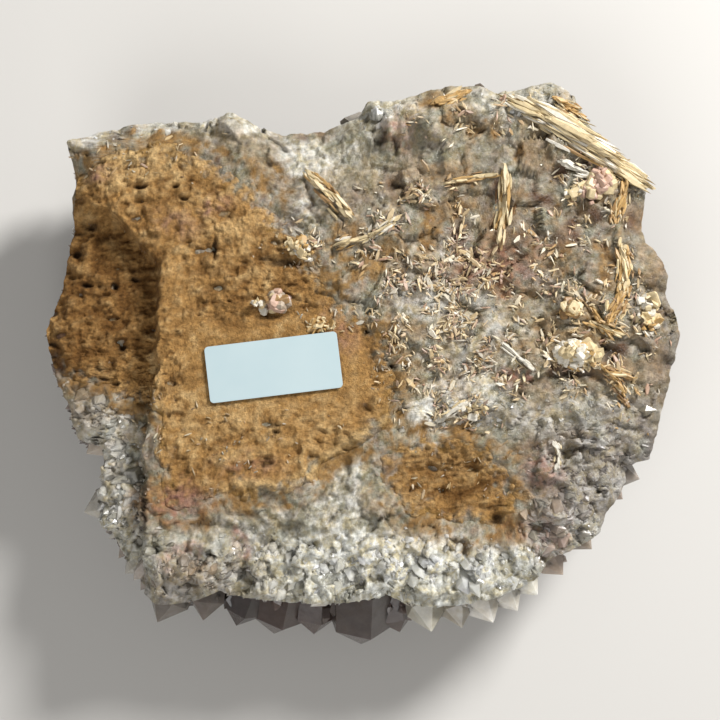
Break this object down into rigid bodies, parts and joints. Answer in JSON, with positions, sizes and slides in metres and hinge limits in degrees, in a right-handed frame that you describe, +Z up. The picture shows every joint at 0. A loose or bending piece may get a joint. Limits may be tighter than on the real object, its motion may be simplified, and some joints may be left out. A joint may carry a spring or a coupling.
{
  "type": "quartz druse plate with barite blades",
  "caption": "Natural mineral specimen lying on its crystals: a milky quartz plate with barite blades, ochre limonite crust and a blank paper label.",
  "frame": {"origin": "middle of the bounding box at the level of the surface that the specimen rests on", "axes": "+X along the longest side of the plate, +Y towards its far edge, +Z up out of the broken matrix side"},
  "size_m": [0.1468, 0.1298, 0.0426],
  "materials": {
    "milky_quartz": "glassy, milky and partly see-through, with iron stain",
    "limonite": "matt, earthy and pitted",
    "barite": "satin to pearly, chalky where weathered",
    "label_paper": "smooth, slightly glossy coated paper"
  },
  "bodies": {
    "root": {"quartz_plate": "milky_quartz", "limonite_crust": "limonite", "limonite_patch": "limonite", "barite_band": "barite", "barite_rim_strand": "barite", "barite_lens_blade": "barite", "barite_thin_blade": "barite", "barite_diagonal_blade": "barite", "barite_curved_blade": "barite", "barite_side_blade": "barite", "barite_block_cluster": "barite", "barite_feather_band": "barite", "barite_leaf_cluster": "barite", "barite_cream_knob": "barite", "barite_tan_nugget": "barite", "barite_crossed_blades": "barite", "barite_spray": "barite", "barite_near_blade": "barite", "barite_white_splinter": "barite", "barite_white_curve": "barite", "barite_white_blade": "barite", "barite_grey_knob": "barite", "barite_yellow_cluster": "barite", "barite_pale_patch": "barite", "barite_top_splinter": "barite", "barite_crest_far": "barite", "barite_crest_left": "barite", "barite_crest_near": "barite", "catalogue_label": "label_paper"}
  },
  "joints": []
}
